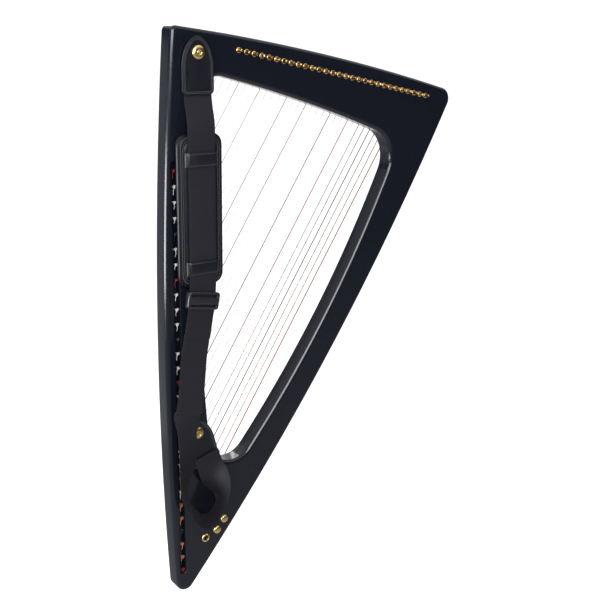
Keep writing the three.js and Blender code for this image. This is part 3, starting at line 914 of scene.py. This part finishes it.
def along(outline, spacing):
    """Evenly spaced points and directions on a closed outline."""
    count = len(outline)
    lengths = [(outline[(i + 1) % count] - outline[i]).length for i in range(count)]
    total = sum(lengths)
    number = round(total / spacing)
    found, i, passed = [], 0, 0.0
    for k in range(number):
        wanted = k * total / number
        while passed + lengths[i] < wanted:
            passed += lengths[i]
            i += 1
        a, b = outline[i], outline[(i + 1) % count]
        found.append((a.lerp(b, (wanted - passed) / lengths[i]), (b - a).normalized()))
    return found


def stitches(outline, y, spacing=3.6, length=2.5):
    """A row of sewn stitches along an outline, each end sunk into the face."""
    shape = Shape()
    for point, direction in along(outline, spacing):
        ends = [point - direction * length / 2, point, point + direction * length / 2]
        depths = [y + 0.5, y - 0.15, y + 0.5]
        path = spline([(p.x, d, p.y) for p, d in zip(ends, depths)], 3)
        shape.join(tube(path, 0.42, 6))
    return shape


def strap_tab(name, place, turn, node):
    """A leather tab with a burnished rim, a stitched groove and a keyhole for the button."""
    outline = tab_outline()
    angles = [-1.42 + k * (TAU - 0.3) / 28 for k in range(29)]
    keyhole = [Vector((0.7, -13)), Vector((0.7, -5.2))]
    keyhole += [Vector((4.7 * cos(a), 4.7 * sin(a))) for a in angles]
    keyhole += [Vector((-0.7, -5.2)), Vector((-0.7, -13)), Vector((0, -13.8))]
    front, back = TAB_FRONT, TAB_FRONT + TAB_THICK
    profile = [(7.4, front), (6.4, front), (5.8, front + 0.1), (5.2, front + 0.2), (4.6, front + 0.1)]
    profile += [(4.0, front), (3.4, front + 0.12), (3.0, front + 0.2), (2.6, front + 0.12), (2.0, front)]
    profile += [(1.1, front), (0.4, front + 0.25), (0, front + 0.8), (0, back - 0.8)]
    profile += [(0.3, back - 0.2), (1, back)]
    shape = Shape()
    made = shape.loft(stepped(outline, profile))
    wall = shape.loft([at_depth(keyhole, y) for y in (front, back)])
    shape.fill([made[0], wall[0]])
    shape.fill([made[-1], wall[-1]])
    shape.moved(turn, *place)
    shape.piece(name, LEATHER, slot="leather", replaces=(node,))
    for index, distance in enumerate((3.0, 5.2)):
        rows = stitches(offset(outline, distance), front + 0.2).moved(turn, *place)
        rows.piece(f"{name}_stitches_{index + 1}", THREAD)


strap_tab("tab_upper", UPPER_BUTTON, 0.0, "upper_strap_tab")
strap_tab("tab_lower", LOWER_BUTTON, -radians(15), "lower_strap_tab")


# ---------- webbing ----------
def tape_section():
    """Round the tape's section: the place across it from -1 to 1, and the height, with beaded edges."""
    front = []
    for k in range(21):
        u = -1 + k / 10
        bead = 1 + 0.25 * exp(-(((abs(u) - 0.86) / 0.04) ** 2))
        front.append((u, WEB_THICK / 2 * bead * (1 - 0.55 * abs(u) ** 8)))
    return front + [(u, -height) for u, height in reversed(front)]


def tape(keys):
    """Webbing along keys, each the middle of the tape and the direction of its width."""
    path = spline([list(middle) for middle, _ in keys], 8)
    widths = spline([list(Vector(width).normalized()) for _, width in keys], 8)
    section = tape_section()
    shape = Shape()
    made, travelled = [], 0.0
    for i, (middle, width) in enumerate(zip(path, widths)):
        tangent = (path[min(i + 1, len(path) - 1)] - path[max(i - 1, 0)]).normalized()
        width = (width - tangent * width.dot(tangent)).normalized()
        normal = tangent.cross(width)
        if i:
            travelled += (middle - path[i - 1]).length
        ring = shape.add(middle + width * (u * WEB_HALF) + normal * y for u, y in section)
        for index, (u, _) in zip(ring, section):
            shape.uvs[index] = (u * WEB_HALF, travelled)
        made.append(ring)
    for ring, other in zip(made, made[1:]):
        shape.bridge(ring, other)
    shape.face(made[0], True)
    shape.face(made[-1], True)
    return shape, travelled


def upper_webbing():
    """The tape from behind the upper tab, over the pad and down through the slider."""
    behind = TAB_FRONT + TAB_THICK + 1.1
    sideways = (1, 0, 0)
    c, s = cos(SLIDER_TURN), sin(SLIDER_TURN)
    tilted = (c, 0, -s)
    keys = [
        ((STRAP_X + 5, behind, -38), sideways),
        ((STRAP_X + 5, behind, -56), sideways),
        ((STRAP_X + 4, behind - 0.8, -68), sideways),
        ((STRAP_X + 2, -9.5, -82), sideways),
        ((STRAP_X + 1, -15.5, -98), sideways),
        ((STRAP_X, WEB_Y - 0.6, -118), sideways),
        ((STRAP_X, WEB_Y, -160), sideways),
        ((STRAP_X, WEB_Y, -260), sideways),
        ((STRAP_X, WEB_Y, -350), sideways),
        ((SLIDER[0] + 0.6, WEB_Y, -385), tilted),
        ((SLIDER[0], WEB_Y, -400), tilted),
        ((SLIDER[0] - 30 * s, WEB_Y, -400 - 30 * c), tilted),
        ((SLIDER[0] - 66 * s, WEB_Y, -400 - 66 * c), tilted),
    ]
    shape, length = tape(keys)
    made = shape.piece("webbing_upper_tape", WEBBING, slot="webbing", replaces=("webbing_upper",))


# The front edge and the back edge of the hanging loop, in order from the slider to the lower tab.
# It starts behind the end of the upper tape.
LOOP = [
    ((-40.4, -17.8, -454), (8.8, -17.8, -462.6)),
    ((-43.4, -18, -471), (5.8, -18, -479.6)),
    ((-48, -20, -492), (0, -20, -503)),
    ((-55, -20, -545), (-4, -20, -560)),
    ((-58.5, -18, -581), (-8.5, -18, -599)),
    ((-57.5, -12, -595), (-11, -12, -617)),
    ((-56, -20, -629), (-11, -10, -650)),
    ((-57, -24, -662), (-14, -8, -686)),
    ((-61, -30, -694), (-21, -6, -712)),
    ((-65, -39, -723), (-31, -5, -744)),
    ((-58, -43, -756), (-29, -4.5, -773)),
    ((-43, -45, -789), (-15, -4.5, -795)),
    ((-23, -45, -806), (2, -4.5, -806)),
    ((-4, -45, -806), (18, -4.5, -803)),
    ((11, -45, -790), (26, -4.5, -791)),
    ((21, -45, -764), (21, -5, -773)),
    ((30, -39, -743), (7, -6, -749)),
    ((37, -24, -728), (-9, -9, -722)),
    ((34, -13, -706), (-17, -11, -708)),
    ((29, -10.5, -684), (-23, -9.5, -690)),
]


def lower_webbing():
    """The slack end: it hangs in a loop below the lower tab and comes back up to it."""
    edges = [(Vector(front), Vector(back)) for front, back in LOOP]
    shape, length = tape([((front + back) / 2, back - front) for front, back in edges])
    made = shape.piece("webbing_loop", WEBBING, slot="webbing", replaces=("webbing_lower",))


upper_webbing()
lower_webbing()


# ---------- shoulder pad ----------
def shoulder_pad():
    """A padded leather cushion: crowned field, sewn border and a piped rim."""
    middle = (PAD_TOP + PAD_BOTTOM) / 2
    tall = (PAD_TOP - PAD_BOTTOM) / 2
    outline = slot_outline(PAD_HALF - 1.2, tall - 1.2, PAD_CORNER, STRAP_X, middle, 12)
    dense = []
    for i, point in enumerate(outline):
        after = outline[(i + 1) % len(outline)]
        pieces = max(1, round((after - point).length / 5))
        dense += [point.lerp(after, k / pieces) for k in range(pieces)]
    front, back = PAD_FRONT, PAD_BACK
    face = [(38, 0.2), (30, 0), (22, 0.1), (16, 0.4), (13.4, 0.9), (11.6, 2.2), (10.6, 2.6), (9.4, 2.5)]
    face += [(7, 2.4), (5, 2.6), (4.2, 3.2), (3.4, 3.4), (1.8, 4), (0.6, 5.6)]
    lining = [(0.8, 3), (3, 1.4), (9, 0.4), (20, 0), (34, 0)]
    profile = [(d, front + y) for d, y in face] + [(0, (front + back) / 2)]
    profile += [(d, back - y) for d, y in lining]
    shape = Shape()
    made = shape.loft([at_depth(inset(dense, d), y) for d, y in profile])
    for ring in (made[0], made[-1]):
        shape.face(ring)
    pad = shape.piece("shoulder_pad_cushion", PAD_LEATHER, "pad", "pad_cloth", ("shoulder_pad",), 60)
    loop = inset(dense, 1.4)
    rim = tube([(p.x, front + 4.6, p.y) for p in loop + loop[:2]], 1.5, 8, False)
    rim.piece("pad_piping", PIPING, "pad", "pad_cloth")
    for index, (distance, y) in enumerate(((5.8, front + 2.3), (9.2, front + 2.3))):
        rows = stitches(inset(dense, distance), y, 4.2, 3)
        rows.piece(f"pad_stitches_{index + 1}", THREAD, "pad")
    keepers()


def inset(outline, distance):
    """The outline drawn in towards the pad's long middle line, so that no ring crosses itself."""
    middle = Vector((STRAP_X, (PAD_TOP + PAD_BOTTOM) / 2))
    wide = 1 - distance / PAD_HALF
    tall = 1 - distance * 2 / (PAD_TOP - PAD_BOTTOM)
    return [middle + (p - middle) * Vector((wide, tall)) for p in outline]


def keepers():
    """Two leather loops that hold the webbing on the pad, with a stitched patch at each end."""
    half, front = 30, -24.2
    for index, z in enumerate(KEEPERS):
        section = [(-half, PAD_FRONT + 1.5), (-half, PAD_FRONT - 0.6), (-half + 1.2, PAD_FRONT - 2.2)]
        section += [(-WEB_HALF - 0.4, front + 0.8), (-WEB_HALF + 2, front), (WEB_HALF - 2, front)]
        section += [(WEB_HALF + 0.4, front + 0.8), (half - 1.2, PAD_FRONT - 2.2), (half, PAD_FRONT - 0.6)]
        section += [(half, PAD_FRONT + 1.5), (WEB_HALF + 1.6, PAD_FRONT + 1.5), (WEB_HALF + 0.9, -21.4)]
        section += [(WEB_HALF - 1, -21.9), (-WEB_HALF + 1, -21.9), (-WEB_HALF - 0.9, -21.4)]
        section += [(-WEB_HALF - 1.6, PAD_FRONT + 1.5)]
        rings = []
        for k in range(13):
            u = -1 + k / 6
            sag = 1.9 * abs(u) ** 3
            rings.append(
                [(STRAP_X + x, y + (sag if y < -22 else 0), z + 11.5 * u) for x, y in section]
            )
        shape = Shape()
        shape.loft(rings, True)
        shape.piece(f"pad_keeper_{index + 1}", LEATHER, "pad", "leather", angle=50)
        rows = Shape()
        for height in (z - 9, z + 9):
            for k in range(12):
                x = STRAP_X - 22 + 4 * k
                bend = ((-1.3, 1.5), (0, 0.9), (1.3, 1.5))
                rows.join(tube([(x + d, front + y, height) for d, y in bend], 0.4, 6))
        rows.piece(f"keeper_stitches_{index + 1}", THREAD, "pad")


# ---------- slider ----------
def slider():
    """A moulded three-bar slider: a rounded frame, two open slots and a ribbed middle bar."""
    half, tall, front, back = 30, 15, -25.4, -14.8
    outer = slot_outline(half, tall, 5, 0, 0, 6)
    web_front = -20.9
    rim = [(2.2, 0), (1.3, 0.2), (0.6, 0.7), (0.15, 1.5), (0, 2.4), (0, web_front - front)]
    rim.append((0.4, web_front + 0.3 - front))
    lip = [(-1.1, 0), (-0.5, 0.25), (-0.1, 0.8), (0, 1.6), (0, web_front + 0.3 - front)]
    shape = Shape()
    made = shape.loft(stepped(outer, [(d, front + y) for d, y in rim]))
    tops, lows = [made[0]], [made[-1]]
    for low, high in ((-10.6, -6.6), (6.2, 10.8)):
        window = slot_outline(half - 5.4, (high - low) / 2, 1.4, 0, (low + high) / 2, 4)
        made = shape.loft(stepped(window, [(d, front + y) for d, y in lip]))
        tops.append(made[0])
        lows.append(made[-1])
    shape.fill(tops)
    shape.fill(lows)
    for side in (-1, 1):
        cheek = slot_outline(2.2, tall - 1.5, 1.6, side * (half - 2.6), 0, 4)
        shape.join(plate(cheek, web_front + 0.1, back, 0.6))
    shape.join(plate(slot_outline(half - 1, 3.6, 1.6, 0, 0, 4), -17.6, back, 0.9))
    for z in (-3.2, -1.1, 1, 3.1):
        shape.join(plate(slot_outline(half - 6, 0.55, 0.5, 0, z, 3), front - 0.35, front + 0.4, 0.3))
    shape.moved(SLIDER_TURN, *SLIDER)
    shape.piece("slider_frame", PLASTIC, "slider", "plastic", ("strap_slider",))


shoulder_pad()
slider()


# ---------- back of the frame: carried-over parts and small hardware ----------
def finish_node(name, material, rim):
    """A frame part keeps its shape and gets a material, with a small rounding on its edges."""
    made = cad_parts[name]
    made.data.materials.clear()
    made.data.materials.append(material)
    modifier = made.modifiers.new("rim", "BEVEL")
    modifier.width = rim * MM
    modifier.segments = 3
    modifier.limit_method = "ANGLE"
    modifier.angle_limit = radians(35)


for node_name, finish, edge in (
    ("bridge", ROSEWOOD, 0.5),
    ("pickup_strip", PICKUP, 0.2),
    ("rear_cover", COVER_PLASTIC, 0.4),
    ("preamp_board", BOARD, 0.15),
    ("battery", CELL, 1.2),
    ("volume_pot", STEEL, 0.3),
    ("tone_pot", STEEL, 0.3),
):
    finish_node(node_name, finish, edge)


def cover_screws():
    """The four countersunk screws of the rear cover, each with a cross slot."""
    shape = Shape()
    turn = Matrix.Rotation(pi, 4, "Z")
    for x in (-14.2, 14.2):
        for z in (BAY_LOW + 1.5, BAY_HIGH - 1.5):
            screw = cross_screw((0, 0))
            scaled = [Vector((p.x * 0.8, (p.y + 11.2) * 0.5, p.z * 0.8)) for p in screw.points]
            screw.points = [turn @ point for point in scaled]
            shape.join(screw.moved(0.4 * x, *bay_place(x, z), THICKNESS))
    shape.piece("cover_screws", STEEL, slot="steel")


def bridge_saddle():
    """A brass wire on the bridge's ridge that the strings bear on."""
    low, high = string_height(STRINGS, BRIDGE_X) - 11, string_height(1, BRIDGE_X) + 11
    ridge = THICKNESS + 9.7
    points = [(BRIDGE_X, ridge, low + (high - low) * k / 30) for k in range(31)]
    tube(points, 0.55, 8).piece("bridge_wire", BRASS, slot="brass")


cover_screws()
bridge_saddle()


# ---------- floor and light ----------
FLOOR_Z = -2.4
FLOOR_HALF = 200
BACKDROP_RADIUS = 30
PAPER_WHITE = 1.08
MIDDLE = Vector((0.25, 0, -0.45))  # what the lights are aimed at


def stage_object(name, mesh, made, glow):
    """A part of the stage with a white glow, which no shiny surface mirrors."""
    made.set("Emission Color", (1, 1, 1, 1))
    made.set("Emission Strength", glow)
    mesh.materials.append(made.material)
    placed = bpy.data.objects.new(name, mesh)
    placed.visible_glossy = False
    show(placed)
    return placed


def floor():
    corners = [(-1, -1), (1, -1), (1, 1), (-1, 1)]
    mesh = bpy.data.meshes.new("floor")
    points = [(x * FLOOR_HALF, y * FLOOR_HALF, FLOOR_Z) for x, y in corners]
    mesh.from_pydata(points, [], [(0, 1, 2, 3)])
    made = Finish("floor", (0.93, 0.93, 0.93), 0.9)
    made.tint(made.noise(2, 3), (0.9, 0.9, 0.9))
    stage_object("floor", mesh, made, 0.5)


def backdrop():
    """A pale shell round everything that only the camera sees, so every view has a plain ground."""
    mesh = bpy.data.meshes.new("backdrop")
    shell = bmesh.new()
    bmesh.ops.create_icosphere(shell, subdivisions=4, radius=BACKDROP_RADIUS)
    shell.to_mesh(mesh)
    shell.free()
    made = Finish("backdrop", (0, 0, 0), 1)
    made.material.cycles.emission_sampling = "NONE"
    dome = stage_object("backdrop", mesh, made, PAPER_WHITE)
    dome.visible_diffuse = False
    dome.visible_shadow = False


def softbox(name, direction, distance, width, height, radiance):
    """A soft rectangular light that stands in a direction from the middle and faces it."""
    data = bpy.data.lights.new(name, "AREA")
    data.shape = "RECTANGLE"
    data.size = width
    data.size_y = height
    data.energy = radiance * pi * width * height
    light = bpy.data.objects.new(name, data)
    light.location = MIDDLE + Vector(direction).normalized() * distance
    light.rotation_euler = (-Vector(direction)).to_track_quat("-Z", "Y").to_euler()
    light.visible_camera = False
    show(light)


def world_light():
    """Bright overhead, dark at eye level and dim below, and white all the way up behind the harp."""
    world = bpy.data.worlds.new("studio")
    world.use_nodes = True
    tree = world.node_tree
    new, link = tree.nodes.new, tree.links.new
    direction = new("ShaderNodeTexCoord").outputs["Generated"]
    split = new("ShaderNodeSeparateXYZ")
    link(direction, split.inputs["Vector"])
    level = new("ShaderNodeMapRange")
    level.inputs["From Min"].default_value = -1
    link(split.outputs["Z"], level.inputs["Value"])
    ramp = new("ShaderNodeValToRGB")
    link(level.outputs["Result"], ramp.inputs["Fac"])
    stops = ramp.color_ramp.elements
    levels = [(0, 0.5), (0.25, 0.34), (0.4, 0.04), (0.5, 0.02), (0.66, 0.03), (0.76, 0.8), (1, 1)]
    stops[0].position, stops[1].position = levels[0][0], levels[-1][0]
    for position, _ in levels[1:-1]:
        stops.new(position)
    for stop, (_, grey) in zip(stops, levels):
        stop.color = (grey, grey, grey, 1)
    towards = new("ShaderNodeVectorMath")
    towards.operation = "DOT_PRODUCT"
    towards.inputs[1].default_value = (sin(YAW), cos(YAW), 0)
    link(direction, towards.inputs[0])
    sector = new("ShaderNodeMapRange")
    sector.inputs["From Min"].default_value = 0.84
    sector.inputs["From Max"].default_value = 0.9
    link(towards.outputs["Value"], sector.inputs["Value"])
    mix = new("ShaderNodeMix")
    mix.data_type = "RGBA"
    colors = [entry for entry in mix.inputs if entry.type == "RGBA"]
    colors[1].default_value = (PAPER_WHITE, PAPER_WHITE, PAPER_WHITE, 1)
    link(sector.outputs["Result"], mix.inputs["Factor"])
    link(ramp.outputs["Color"], colors[0])
    result = [output for output in mix.outputs if output.type == "RGBA"][0]
    link(result, tree.nodes["Background"].inputs["Color"])
    bpy.context.scene.world = world


def studio():
    """The world and four soft boxes: the front key, one high behind, and two at the left."""
    world_light()
    bpy.context.scene.view_settings.view_transform = "Standard"
    softbox("key", (-0.62, -0.62, 0.4), 2.6, 2.6, 1.1, 9)
    softbox("high_back", (0.25, 0.72, 0.62), 2.6, 1.2, 1.0, 6)
    softbox("side_panel", (-0.57, 0.77, -0.12), 2.4, 1.4, 1.8, 0.3)
    softbox("left_strip", (-0.85, 0.12, -0.06), 2.6, 2.2, 0.7, 15)


floor()
backdrop()
studio()
